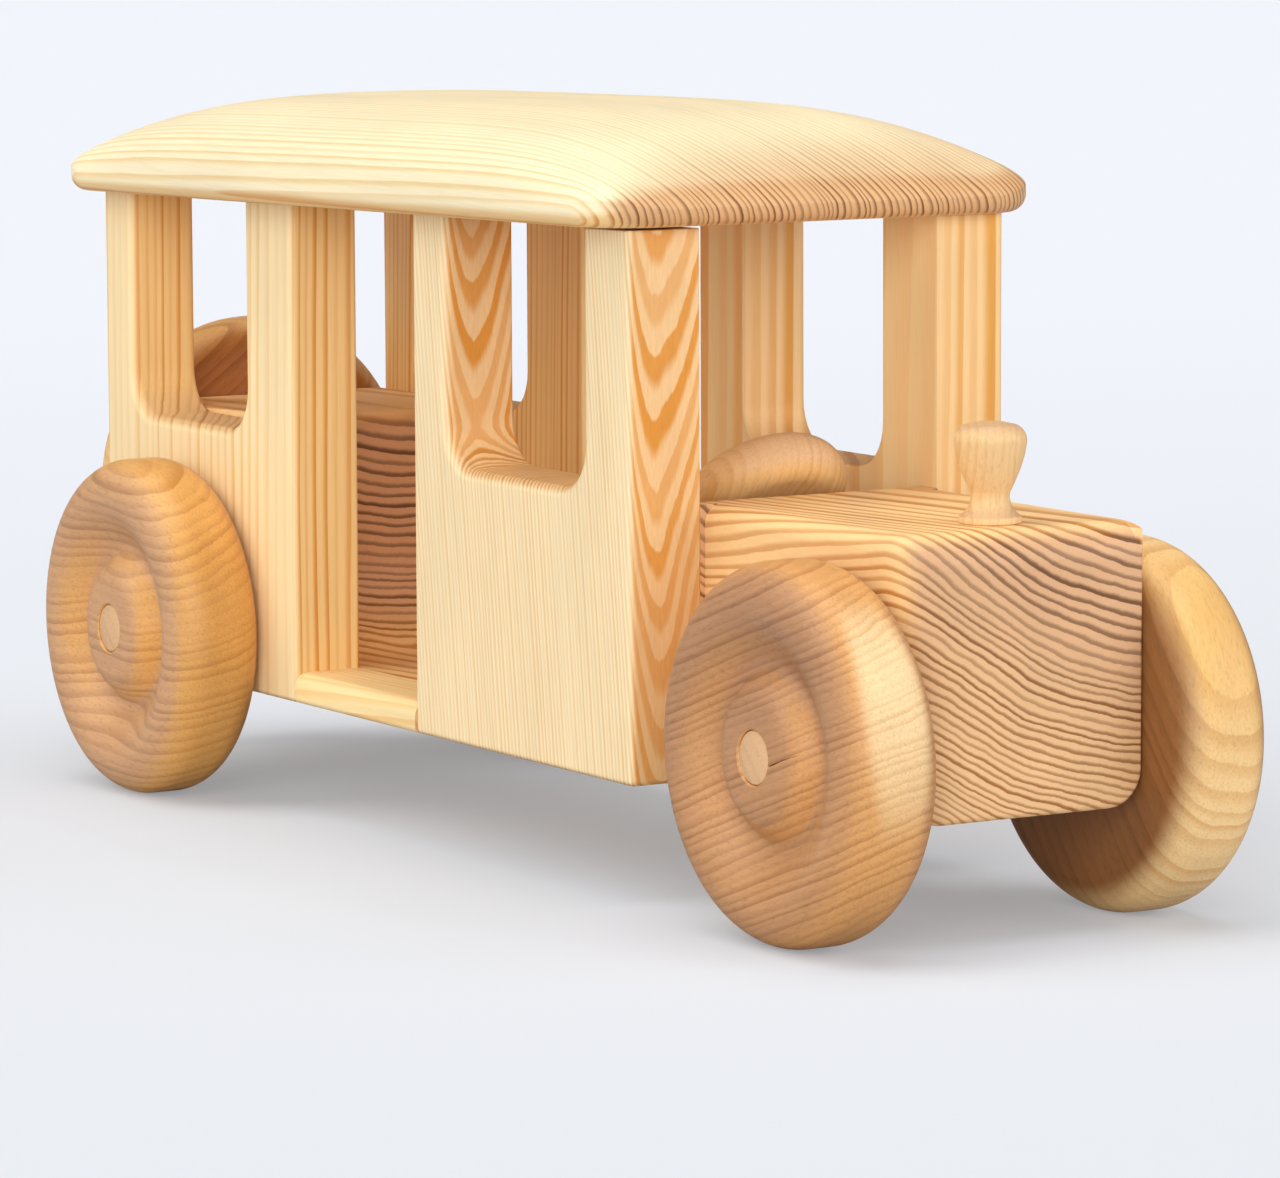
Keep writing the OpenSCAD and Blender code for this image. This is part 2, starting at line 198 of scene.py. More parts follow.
# Width and length of a fibre, with 2.4 of them to a millimetre, of a fleck of pores and of a patch of tone
FIBRE_SIZE = (1 / 2.4, 1 / 0.07)
FLECK_SIZE = (1 / 2.2, 1 / 0.45)
PATCH_SIZE = (14, 60)
# How fast the rings' widths change from year to year, and the part of a year at which latewood stops
WIDTH_PACE = 0.21
YEAR_STOP = 0.94
# Where the noise of the flecks begins and ends to show, and how squarely a face must look towards pale to
# take the tint of painted light and face tone
FLECK_RANGE = (0.52, 0.75)
TONE_AND_PAINTED_LIGHT_RANGE = (0.3, 0.95)
# How much patches change the tone, and how far latewood shines more and stands proud of the fibres
PATCH_TONE = 0.12
LATEWOOD_SHINE = 0.10
LATEWOOD_PROUD = 0.6
RELIEF_DEPTH = 0.06


def wood(name, finish, ring, point, along, out, pith=0.0, bow=0.0, skew=0.0, pinch=0.0, wander=0.6,
         spread=2.0, tighten=0.0, pale=(0, 0, 0), both_faces=False, end_lean=(0, 0, 0), end_from=0.25,
         end_to=0.9, sap=0.0, **changes):
    """A wood cut from a trunk that lies along one direction, with its rings a real width apart.

    Rings follow each other in the direction out from the point. They are circles round a pith, or else
    they are bent across the grain by bow, unevenly by skew and to a point by pinch. So end grain, straight
    grain and arched grain fall on the right faces. Rings wander along the trunk, spread unevenly and
    tighten outwards. Faces towards pale, or away from it too, are tinted: painted light that makes the lit
    side of a board paler, and on wheels partly the turned face's own tone, partly painted light and shade.
    End grain faces along the trunk and reaches further on the side that it leans to. Sap is the share of
    both tints that the outer wood lacks.
    """
    look = {**finish, **changes}
    trunk = Vector(along).normalized()
    outward = Vector(out) - trunk * trunk.dot(Vector(out))
    outward.normalize()
    turn = Matrix((outward, trunk.cross(outward), trunk))
    material = bpy.data.materials.new(name)
    material.use_nodes = True
    tree = material.node_tree
    tree.nodes.clear()
    seen = add(tree, "ShaderNodeTexCoord", take="Object")
    grain = add(tree, "ShaderNodeMapping", {
        "Vector": seen, "Location": -(turn @ Vector(point)), "Rotation": turn.to_euler(),
        "Scale": (1 / MM,) * 3,
    })

    # Distance across the rings, bent three times
    across = add(tree, "ShaderNodeSeparateXYZ", {"Vector": grain}).node.outputs
    if pith:
        off_pith = add(tree, "ShaderNodeVectorMath", {0: grain, 1: (pith, 0, 0)}, operation="ADD")
        flat_off = add(tree, "ShaderNodeVectorMath", {0: off_pith, 1: (1, 1, 0)}, operation="MULTIPLY")
        radius = add(tree, "ShaderNodeVectorMath", {0: flat_off}, take="Value", operation="LENGTH")
        reach = add(tree, "ShaderNodeMath", {0: radius, 1: pith}, operation="SUBTRACT")
    else:
        size = add(tree, "ShaderNodeMath", {0: across["Y"]}, operation="ABSOLUTE")
        squared = add(tree, "ShaderNodeMath", {0: across["Y"], 1: across["Y"]}, operation="MULTIPLY")
        sided = add(tree, "ShaderNodeMath", {0: across["Y"], 1: size}, operation="MULTIPLY")
        bowed = add(tree, "ShaderNodeMath", {0: squared, 1: bow, 2: across["X"]}, operation="MULTIPLY_ADD")
        pinched = add(tree, "ShaderNodeMath", {0: size, 1: pinch, 2: bowed}, operation="MULTIPLY_ADD")
        reach = add(tree, "ShaderNodeMath", {0: sided, 1: skew, 2: pinched}, operation="MULTIPLY_ADD")
    for width, length, amount in BENDS:
        place = add(tree, "ShaderNodeVectorMath", {
            0: grain, 1: (1 / width, 1 / width, 1 / length),
        }, operation="MULTIPLY")
        bend = add(tree, "ShaderNodeTexNoise", {"Vector": place, "Scale": 1.0, "Detail": 1.0})
        reach = add(tree, "ShaderNodeMath", {0: bend, 1: amount * wander, 2: reach}, operation="MULTIPLY_ADD")

    # Years: uneven in width and in strength; each one swells to latewood and stops short
    narrowing = add(tree, "ShaderNodeMath", {0: reach, 1: tighten, 2: 1.0}, operation="MULTIPLY_ADD")
    stretched = add(tree, "ShaderNodeMath", {0: reach, 1: narrowing}, operation="MULTIPLY")
    years = add(tree, "ShaderNodeMath", {0: stretched, 1: ring}, operation="DIVIDE")
    pace = add(tree, "ShaderNodeMath", {0: years, 1: WIDTH_PACE}, operation="MULTIPLY")
    uneven = add(tree, "ShaderNodeTexNoise", {"W": pace, "Scale": 1.0, "Detail": 1.0}, noise_dimensions="1D")
    count = add(tree, "ShaderNodeMath", {0: uneven, 1: spread, 2: years}, operation="MULTIPLY_ADD")
    season = add(tree, "ShaderNodeMath", {0: count}, operation="FRACT")
    year = add(tree, "ShaderNodeMath", {0: count}, operation="FLOOR")
    chance = add(tree, "ShaderNodeTexWhiteNoise", {"W": year}, noise_dimensions="1D")
    faint = look["faint"]
    depth = add(tree, "ShaderNodeMath", {0: chance, 1: 1 - faint, 2: faint}, operation="MULTIPLY_ADD")
    swell = add(tree, "ShaderNodeMapRange", {
        "Value": season, "From Min": look["rise"], "From Max": look["crest"],
    }, interpolation_type="SMOOTHSTEP")
    stop = add(tree, "ShaderNodeMapRange", {"Value": season, "From Min": 1.0, "From Max": YEAR_STOP})
    ridge = add(tree, "ShaderNodeMath", {0: swell, 1: stop}, operation="MULTIPLY")
    latewood = add(tree, "ShaderNodeMath", {0: ridge, 1: depth}, operation="MULTIPLY")

    # Fibres, flecks of pores, and slow patches of tone
    fibre_place, fleck_place, patch_place = [
        add(tree, "ShaderNodeVectorMath", {
            0: grain, 1: (1 / width, 1 / width, 1 / length),
        }, operation="MULTIPLY") for width, length in (FIBRE_SIZE, FLECK_SIZE, PATCH_SIZE)]
    fibre = add(tree, "ShaderNodeTexNoise", {
        "Vector": fibre_place, "Scale": 1.0, "Detail": 3.0, "Roughness": 0.6,
    })
    fleck = add(tree, "ShaderNodeTexNoise", {"Vector": fleck_place, "Scale": 1.0, "Detail": 2.0})
    pores = add(tree, "ShaderNodeMapRange", {
        "Value": fleck, "From Min": FLECK_RANGE[0], "From Max": FLECK_RANGE[1],
    })
    patch = add(tree, "ShaderNodeTexNoise", {"Vector": patch_place, "Scale": 1.0, "Detail": 2.0})

    # Colour: end grain faces along the trunk, and the side that faces towards pale is tinted with painted
    # light, on wheels partly their face's own tone
    along_trunk, sideways, to_light = [
        add(tree, "ShaderNodeVectorMath", {0: seen.node.outputs["Normal"], 1: way}, take="Value",
            operation="DOT_PRODUCT") for way in (trunk, end_lean, pale)]
    square_on = add(tree, "ShaderNodeMath", {0: along_trunk}, operation="ABSOLUTE")
    endways = add(tree, "ShaderNodeMath", {0: square_on, 1: sideways}, operation="ADD")
    end = add(tree, "ShaderNodeMapRange", {
        "Value": endways, "From Min": end_from, "From Max": end_to,
    }, interpolation_type="SMOOTHSTEP")
    # Tint of faces towards pale: painted light, a paler lit side, and on wheels partly the face's own tone
    if both_faces:
        to_light = add(tree, "ShaderNodeMath", {0: to_light}, operation="ABSOLUTE")
    tone_and_painted_light = add(tree, "ShaderNodeMapRange", {
        "Value": to_light, "From Min": TONE_AND_PAINTED_LIGHT_RANGE[0], "From Max": TONE_AND_PAINTED_LIGHT_RANGE[1],
    }, interpolation_type="SMOOTHSTEP")
    heart = add(tree, "ShaderNodeMapRange", {
        "Value": across["X"], "From Min": -HEART_REACH, "From Max": HEART_REACH,
        "To Min": 1.0, "To Max": 1 - sap,
    }, interpolation_type="SMOOTHSTEP")
    side_tint = add(tree, "ShaderNodeMath", {0: tone_and_painted_light, 1: heart}, operation="MULTIPLY")
    end_tint = add(tree, "ShaderNodeMath", {0: end, 1: heart}, operation="MULTIPLY")
    tints = []
    for part in ("early", "late"):
        side = add(tree, "ShaderNodeMix", {
            0: side_tint, 6: linear(look[part]), 7: linear(look[part + "_pale"]),
        }, take=2, data_type="RGBA")
        tints.append(add(tree, "ShaderNodeMix", {
            0: end_tint, 6: side, 7: linear(look[part + "_end"]),
        }, take=2, data_type="RGBA"))
    body = add(tree, "ShaderNodeMix", {0: latewood, 6: tints[0], 7: tints[1]}, take=2, data_type="RGBA")
    streak = add(tree, "ShaderNodeMath", {
        0: fibre, 1: 2 * look["fibre"], 2: 1 - look["fibre"],
    }, operation="MULTIPLY_ADD")
    patched = add(tree, "ShaderNodeMath", {
        0: patch, 1: 2 * PATCH_TONE, 2: 1 - PATCH_TONE,
    }, operation="MULTIPLY_ADD")
    pored = add(tree, "ShaderNodeMath", {0: pores, 1: -look["fleck"], 2: streak}, operation="MULTIPLY_ADD")
    tone = add(tree, "ShaderNodeMath", {0: pored, 1: patched}, operation="MULTIPLY")
    colour = add(tree, "ShaderNodeVectorMath", {0: body, "Scale": tone}, operation="SCALE")

    # Surface: latewood stands a little proud and shines more, as on sanded and oiled wood
    rough = add(tree, "ShaderNodeMath", {
        0: latewood, 1: -LATEWOOD_SHINE, 2: look["rough"],
    }, operation="MULTIPLY_ADD")
    height = add(tree, "ShaderNodeMath", {0: latewood, 1: LATEWOOD_PROUD, 2: fibre}, operation="MULTIPLY_ADD")
    relief = add(tree, "ShaderNodeBump", {"Height": height, "Strength": 0.6, "Distance": RELIEF_DEPTH * MM})
    shader = add(tree, "ShaderNodeBsdfPrincipled", {
        "Base Color": colour, "Roughness": rough, "Normal": relief, "Specular IOR Level": 0.4,
    })
    add(tree, "ShaderNodeOutputMaterial", {"Surface": shader})
    return material


# Mesh tools

# Points closer than this are one point, and edges that turn by more than this angle look sharp
MERGE = 0.002
SHARP_ANGLE = math.radians(40)
# How far a tool or a joined piece reaches past a face, and how near to a face a point counts as on it
OVERLAP = 1.0


def arc(x, z, r, start, end, steps):
    """Points of an arc, with its angles in degrees."""
    angles = [math.radians(start + (end - start) * i / steps) for i in range(steps + 1)]
    return [(x + r * math.cos(a), z + r * math.sin(a)) for a in angles]


def put(name, data):
    """A new object in the scene that holds a mesh, a lamp or the camera."""
    piece = bpy.data.objects.new(name, data)
    bpy.context.scene.collection.objects.link(piece)
    return piece


def solid(name, bm):
    """A new object from a closed mesh that was built in millimetres."""
    bmesh.ops.recalc_face_normals(bm, faces=bm.faces)
    bmesh.ops.scale(bm, vec=(MM, MM, MM), verts=bm.verts)
    mesh = bpy.data.meshes.new(name)
    bm.to_mesh(mesh)
    bm.free()
    return put(name, mesh)


def bridge(bm, first, second):
    """Faces between two rings of equally many points."""
    for i in range(len(first)):
        bm.faces.new((first[i - 1], first[i], second[i], second[i - 1]))


def baked(piece):
    """The plain mesh that a piece's modifiers give; the modifiers are removed."""
    bpy.context.view_layer.update()
    graph = bpy.context.evaluated_depsgraph_get()
    mesh = bpy.data.meshes.new_from_object(piece.evaluated_get(graph), depsgraph=graph)
    piece.modifiers.clear()
    mesh.name = piece.name
    return mesh


def settle(piece):
    """Turns a piece's modifiers into a plain mesh, closed and with its faces outwards."""
    mesh = baked(piece)
    bm = bmesh.new()
    bm.from_mesh(mesh)
    bmesh.ops.remove_doubles(bm, verts=bm.verts, dist=MERGE * MM)
    bmesh.ops.recalc_face_normals(bm, faces=bm.faces)
    bm.to_mesh(mesh)
    bm.free()
    mesh.shade_smooth()
    mesh.set_sharp_from_angle(angle=SHARP_ANGLE)
    piece.data = mesh
    return piece


def weigh(piece):
    """Keeps flat faces flat to the eye next to their rounded edges."""
    weighted = piece.modifiers.new("weighted", "WEIGHTED_NORMAL")
    weighted.keep_sharp = True
    weighted.weight = 100
    piece.data = baked(piece)
    return piece


def dress(piece, material):
    """Gives every face of a piece one material."""
    piece.data.materials.clear()
    piece.data.materials.append(material)
    return piece


# Rounding of an edge with a weight of 1
WIDEST_R = 10.0


def rounded(name, bm):
    """An object from a sharp solid whose edges carry the rounding that each of them gets."""
    piece = solid(name, bm)
    bevel = piece.modifiers.new("edges", "BEVEL")
    bevel.limit_method = "WEIGHT"
    bevel.width = WIDEST_R * MM
    bevel.segments = 5
    bevel.use_clamp_overlap = False
    return settle(piece)


def upright(name, outline, y0, y1, ease=(1.0, 1.0)):
    """A solid between two places along Y; each point of its outline is x, z, rounding up to the next point.

    Ease is the share of the rounding that the edges get at the first and at the second place.
    """
    bm = bmesh.new()
    weight = bm.edges.layers.float.new("bevel_weight_edge")
    sides = [[bm.verts.new((x, y, z)) for x, z, edge in outline] for y in (y0, y1)]
    for side in sides:
        bm.faces.new(side)
    bridge(bm, *sides)
    for i in range(len(outline)):
        for side, share in zip(sides, ease):
            bm.edges.get((side[i - 1], side[i]))[weight] = share * outline[i - 1][2] / WIDEST_R
        before = Vector((outline[i][0] - outline[i - 1][0], outline[i][1] - outline[i - 1][1]))
        after_point = outline[(i + 1) % len(outline)]
        after = Vector((after_point[0] - outline[i][0], after_point[1] - outline[i][1]))
        if before.angle(after) > SHARP_ANGLE:
            corner = bm.edges.get((sides[0][i], sides[1][i]))
            corner[weight] = min(outline[i - 1][2], outline[i][2]) / WIDEST_R
    return rounded(name, bm)


def cut(piece, tool, operation="DIFFERENCE"):
    """Cuts one object with another, or joins them, and removes the tool."""
    boolean = piece.modifiers.new("cut", "BOOLEAN")
    boolean.operation = operation
    boolean.object = tool
    boolean.solver = "EXACT"
    settle(piece)
    bpy.data.objects.remove(tool)
    return piece


def drill(centre, axis, r, half):
    """A round tool that bores a hole of a radius along an axis, half its length to each side of a centre."""
    bm = bmesh.new()
    bmesh.ops.create_cone(bm, cap_ends=True, segments=48, radius1=r, radius2=r, depth=2 * half)
    spin = Vector((0, 0, 1)).rotation_difference(Vector(axis)).to_matrix().to_4x4()
    bmesh.ops.transform(bm, matrix=Matrix.Translation(centre) @ spin, verts=bm.verts)
    return solid("drill", bm)


def inputs_of(tree):
    """The identifier of each named input of a Geometry Nodes tree."""
    sockets = [item for item in tree.interface.items_tree if item.item_type == "SOCKET"]
    return {item.name: item.identifier for item in sockets if item.in_out == "INPUT"}


def started_tree(name, inputs):
    """A new Geometry Nodes tree with named inputs and one output, and the sockets that give its inputs."""
    tree = bpy.data.node_groups.new(name, "GeometryNodeTree")
    for label, kind in inputs.items():
        tree.interface.new_socket(label, in_out="INPUT", socket_type="NodeSocket" + kind)
    tree.interface.new_socket("Wooden piece", in_out="OUTPUT", socket_type="NodeSocketGeometry")
    return tree, add(tree, "NodeGroupInput").node.outputs


def end_tree(tree, given, skin, distance):
    """Closes a skin's seams, puts it at its centre and turn, and gives it its wood."""
    closed = add(tree, "GeometryNodeMergeByDistance", {"Geometry": skin, "Distance": distance * MM})
    turn = add(tree, "FunctionNodeEulerToRotation", {"Euler": given["Turn"]})
    placed = add(tree, "GeometryNodeTransform", {
        "Geometry": closed, "Translation": given["Centre"], "Rotation": turn,
    })
    real = add(tree, "GeometryNodeRealizeInstances", {"Geometry": placed})
    dressed = add(tree, "GeometryNodeSetMaterial", {"Geometry": real, "Material": given["Wood"]})
    add(tree, "NodeGroupOutput", {"Wooden piece": dressed})
    return tree


def lathe_tree():
    """A lathe: the object's points are a half section, radius along X and height along Z, spun round Z."""
    tree, given = started_tree("lathe", {
        "Profile": "Geometry", "Segments": "Int", "Centre": "Vector", "Turn": "Vector", "Wood": "Material",
    })
    points = add(tree, "GeometryNodeAttributeDomainSize", {"Geometry": given["Profile"]})
    columns = add(tree, "FunctionNodeIntegerMath", {0: given["Segments"], 1: 1}, operation="ADD")
    grid = add(tree, "GeometryNodeMeshGrid", {"Vertices X": columns, "Vertices Y": points})
    index = add(tree, "GeometryNodeInputIndex")
    column = add(tree, "FunctionNodeIntegerMath", {0: index, 1: points}, operation="DIVIDE_FLOOR")
    row = add(tree, "FunctionNodeIntegerMath", {0: index, 1: points}, operation="MODULO")
    share = add(tree, "ShaderNodeMath", {0: column, 1: given["Segments"]}, operation="DIVIDE")
    angle = add(tree, "ShaderNodeMath", {0: share, 1: math.tau}, operation="MULTIPLY")
    where = add(tree, "GeometryNodeInputPosition")
    section = add(tree, "GeometryNodeSampleIndex", {
        "Geometry": given["Profile"], "Value": where, "Index": row,
    }, data_type="FLOAT_VECTOR")
    spun = add(tree, "ShaderNodeVectorRotate", {"Vector": section, "Angle": angle}, rotation_type="Z_AXIS")
    skin = add(tree, "GeometryNodeSetPosition", {"Geometry": grid, "Position": spun})
    return end_tree(tree, given, skin, MERGE)


LATHE = lathe_tree()


def turned(name, section, centre, axis, material, segments=128):
    """A turned piece: its half section is radius and height, and its height runs along the axis."""
    mesh = bpy.data.meshes.new(name)
    points = [(r * MM, 0.0, h * MM) for r, h in section]
    mesh.from_pydata(points, [(i, i + 1) for i in range(len(points) - 1)], [])
    piece = put(name, mesh)
    lathe = piece.modifiers.new("lathe", "NODES")
    lathe.node_group = LATHE
    names = inputs_of(LATHE)
    lathe[names["Segments"]] = segments
    lathe[names["Centre"]] = Vector(centre) * MM
    lathe[names["Turn"]] = Vector((0, 0, 1)).rotation_difference(Vector(axis)).to_euler()
    lathe[names["Wood"]] = material
    return settle(piece)


def show(piece, node, body):
    """Hangs a piece on the empty of the body that it moves with, and hides the CAD node that it stands for.
    """
    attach(piece, body)
    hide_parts(node)


# Block: bonnet, thin floor between two coves, and rear block, all cut from one length of pine

block_pine = wood(
    "oiled pine block", PINE, ring=1.75, point=(147, 0, 50), along=(0.99, 0.15, 0), out=(0, -0.45, -0.89),
    pith=90, wander=0.8, spread=1.3, tighten=0.006, early="#FDD294", late="#C98238", early_end="#DDAC80",
    late_end="#70421C", rise=0.42, crest=0.78, faint=0.55, end_from=0.3, end_to=0.85, sap=0.45,
)


def framed(low, high, radii, steps=8):
    """A rectangle's outline across the body, between two corners given as y and z, with rounded corners.

    They come in the order right foot, left foot, left top, right top.
    """
    inwards = ((1, 1), (-1, 1), (-1, -1), (1, -1))
    points = []
    for i, (r, (y_in, z_in)) in enumerate(zip(radii, inwards)):
        y = (low if y_in > 0 else high)[0] + y_in * r
        z = (low if z_in > 0 else high)[1] + z_in * r
        points += arc(y, z, r, 180 + 90 * i, 270 + 90 * i, steps)
    return points


def bonnet_solid():
    """The bonnet, with a different rounding along each edge of its section and of its nose."""
    low, high = (-BONNET_HALF, BELLY_Z), (BONNET_HALF, BONNET_TOP)
    outer = framed(low, high, (BELLY_R, BELLY_R, BONNET_LEFT_R, BONNET_RIGHT_R))
    inner_low = (low[0] + NOSE_RIGHT_R, low[1] + SMALL_EDGE_R)
    inner_high = (high[0] - NOSE_LEFT_R, high[1] - NOSE_R)
    inner_radii = (NOSE_CORNER_R, BELLY_R - SMALL_EDGE_R, NOSE_CORNER_R, NOSE_CORNER_R)
    inner = framed(inner_low, inner_high, inner_radii)
    turns = (NOSE_RIGHT_R, SMALL_EDGE_R, NOSE_LEFT_R, NOSE_R)
    per_corner = len(outer) // 4
    bm = bmesh.new()
    rows = [[bm.verts.new((BONNET_REAR_X + OVERLAP, y, z)) for y, z in outer]]
    steps = 10
    for j in range(steps + 1):
        angle = math.pi / 2 * j / steps
        row = []
        for i, ((y0, z0), (y1, z1)) in enumerate(zip(outer, inner)):
            corner, place = divmod(i, per_corner)
            share = place / (per_corner - 1)
            r = turns[corner] * (1 - share) + turns[(corner + 1) % 4] * share
            inward = 1 - math.cos(angle)
            x = BLOCK_HIGH.x - r * (1 - math.sin(angle))
            row.append(bm.verts.new((x, y0 + (y1 - y0) * inward, z0 + (z1 - z0) * inward)))
        rows.append(row)
    bm.faces.new(rows[0])
    bm.faces.new(rows[-1])
    for before, after in zip(rows, rows[1:]):
        bridge(bm, before, after)
    return solid("bonnet", bm)


def block():
    """Cabin floor and rear block joined to the bonnet, with the bores for axles, steering column and peg."""
    rear_top = BLOCK_HIGH.z
    bench = [(x, z, SMALL_EDGE_R) for x, z in arc(
        REAR_BLOCK_X - BENCH_EDGE_R, rear_top - BENCH_EDGE_R, BENCH_EDGE_R, 90, 0, 8)]
    rear_cove = [(x, z, 0.0) for x, z in arc(
        REAR_BLOCK_X + COVE_R, FLOOR_TOP + COVE_R, COVE_R, 180, 270, 14)]
    front_cove = [(x, z, 0.0) for x, z in arc(
        BONNET_REAR_X - COVE_R, FLOOR_TOP + COVE_R, COVE_R, 270, 360, 14)]
    outline = [(BLOCK_LOW.x, BELLY_Z, SMALL_EDGE_R), (BLOCK_LOW.x, rear_top, SMALL_EDGE_R)]
    outline += bench + rear_cove + front_cove
    outline += [(BONNET_REAR_X, BONNET_TOP, 0.0), (BONNET_X, BONNET_TOP, 0.0), (BONNET_X, BELLY_Z, 0.0)]
    piece = upright("chassis_block.wood", outline, -BLOCK_HALF, BLOCK_HALF)
    cut(piece, bonnet_solid(), "UNION")
    for node in ("front_axle", "rear_axle"):
        low, high = span(node)
        cut(piece, drill((low + high) / 2, (0, 1, 0), AXLE_BORE_R, SIDE_HALF))
    column_middle = steering_centre - column_axis * COLUMN_BORE_L / 2
    cut(piece, drill(column_middle, column_axis, COLUMN_BORE_R, COLUMN_BORE_L / 2))
    low, high = span("spare_wheel_peg")
    cut(piece, drill((low + high) / 2, (1, 0, 0), AXLE_BORE_R, (high.x - low.x) / 2 + END_GAP))
    return weigh(dress(piece, block_pine))


show(block(), "chassis_block", "body")


# Side panels: boards with a window that is open to the roof

def roof_under(x):
    """Height of the roof's underside at a place along the body."""
    return FRONT_HIGH.z + (x - FRONT_HIGH.x) * math.tan(math.radians(ROOF_PITCH))


def panel(name, low, high, window_rear, window_front, side, inner_ease, joint_gap=0.0):
    """A panel with its window cut down from the top, on the side given by 1 for left or -1 for right.

    Inner ease is the share of the rounding on the cabin's side. The joint gap is how far the glued joint
    under the roof has opened at the panel's front.
    """
    x0, x1 = low.x, high.x
    w0, w1 = window_rear, window_front
    window = [(x, z, WINDOW_EDGE_R) for x, z in arc(w1 - WINDOW_R, SILL_Z + WINDOW_R, WINDOW_R, 360, 270, 8)]
    window += [(x, z, WINDOW_EDGE_R) for x, z in arc(w0 + WINDOW_R, SILL_Z + WINDOW_R, WINDOW_R, 270, 180, 8)]
    outline = [
        (x0, BELLY_Z, SMALL_EDGE_R), (x1, BELLY_Z, POST_EDGE_R), (x1, roof_under(x1) - joint_gap, TOP_EDGE_R),
        (w1, roof_under(w1) - joint_gap, WINDOW_EDGE_R),
    ] + window + [(w0, roof_under(w0), TOP_EDGE_R), (x0, roof_under(x0), POST_EDGE_R)]
    if side > 0:
        return upright(name, outline, BLOCK_HALF, SIDE_HALF, (inner_ease, 1.0))
    return upright(name, outline, -SIDE_HALF, -BLOCK_HALF, (1.0, inner_ease))


# Each panel side that faces towards pale is tinted with painted light: the right panels' outer sides are
# painted paler as the sheen of a lit side, and the front left panel's side towards the cabin is painted paler
# as light that lifts its shade
front_right_pine = wood(
    "oiled pine front right panel", PINE, ring=1.3, point=(79, -35.5, 80), along=(-0.12, 0, 1), out=(1, 0, 0),
    bow=-0.045, skew=0.018, pinch=-0.07, wander=0.7, spread=1.0, pale=(0, -1, 0), early="#EEC48C",
    late="#DC8F28", early_pale="#FDE6BA", late_pale="#F2CC90", rise=0.34, crest=0.62, faint=0.5, fibre=0.13,
)
front_left_pine = wood(
    "oiled pine front left panel", PINE, ring=3.6, point=(79, 34, 80), along=(-0.02, 0.02, 1),
    out=(0.5, 0.87, 0), pale=(0, -1, 0), early="#F4CC92", late="#E09A34", early_pale="#FFE0A6",
    late_pale="#F2B662", rise=0.2, crest=0.7, faint=0.2,
)
rear_right_pine = wood(
    "oiled pine rear right panel", PINE, ring=1.9, point=(-60, -34, 80), along=(0.01, 0, 1),
    out=(0.54, 0.84, 0), pale=(0, -1, 0), early_pale="#FFE4B0", late_pale="#F2C680", faint=0.25,
)
rear_left_pine = wood(
    "oiled pine rear left panel", PINE, ring=1.8, point=(-60, 34, 80), along=(0.02, 0, 1),
    out=(0.9, -0.4, 0), faint=0.25,
)
front_window = (FRONT_LOW.x + DOOR_FRONT_POST, FRONT_HIGH.x - WINDSCREEN_POST)
rear_window = (REAR_LOW.x + TAIL_POST, REAR_HIGH.x - DOOR_REAR_POST)
front_left_low = FRONT_LOW - Vector((LEFT_DOOR_POST_EXTRA, 0, 0))
front_left_window = (front_window[0], front_window[1] - LEFT_POST_EXTRA)
rear_left_window = (rear_window[0], rear_window[1] - LEFT_POST_EXTRA)
rear_axle_low, rear_axle_high = span("rear_axle")
for node, low, high, window, side, inner_ease, material, joint_gap in (
    ("front_right_panel", FRONT_LOW, FRONT_HIGH, front_window, -1, 0.25, front_right_pine, JOINT_GAP),
    ("front_left_panel", front_left_low, FRONT_HIGH, front_left_window, 1, 0.25, front_left_pine, 0.0),
    ("rear_right_panel", REAR_LOW, REAR_HIGH, rear_window, -1, 0.6, rear_right_pine, 0.0),
    ("rear_left_panel", REAR_LOW, REAR_HIGH, rear_left_window, 1, 0.25, rear_left_pine, 0.0),
):
    board = panel(node + ".wood", low, high, *window, side, inner_ease, joint_gap)
    if high is REAR_HIGH:
        cut(board, drill((rear_axle_low + rear_axle_high) / 2, (0, 1, 0), AXLE_BORE_R, SIDE_HALF + OVERLAP))
    show(weigh(dress(board, material)), node, "body")


# Door sills: strips that close the foot of each doorway

sill_pine = wood(
    "oiled pine door sill", PINE, ring=1.7, point=(-30, -34, 27), along=(1, 0.03, 0), out=(0, 0.85, 0.5),
    early="#FFE2A6", late="#F8C272",
)
for node, side in (("right_door_sill", -1), ("left_door_sill", 1)):
    sill_low, sill_high = span(node)
    if side > 0:
        sill_high.x -= LEFT_DOOR_POST_EXTRA
    bm = bmesh.new()
    weight = bm.edges.layers.float.new("bevel_weight_edge")
    bmesh.ops.create_cube(bm, size=1.0)
    bmesh.ops.scale(bm, vec=sill_high - sill_low, verts=bm.verts)
    bmesh.ops.translate(bm, vec=(sill_high + sill_low) / 2, verts=bm.verts)
    for edge in bm.edges:
        lengthwise = abs(edge.verts[0].co.x - edge.verts[1].co.x) > OVERLAP
        outer = max(side * v.co.y for v in edge.verts) > SIDE_HALF - OVERLAP
        upper = min(v.co.z for v in edge.verts) > sill_low.z + OVERLAP
        if lengthwise and outer:
            edge[weight] = (DOOR_SILL_EDGE_R if upper else SMALL_EDGE_R) / WIDEST_R
    sill = rounded(node + ".wood", bm)
    show(weigh(dress(sill, sill_pine)), node, "body")


# Roof: a pillow, full along its sides and falling gently to both ends, over a band with a round lower edge

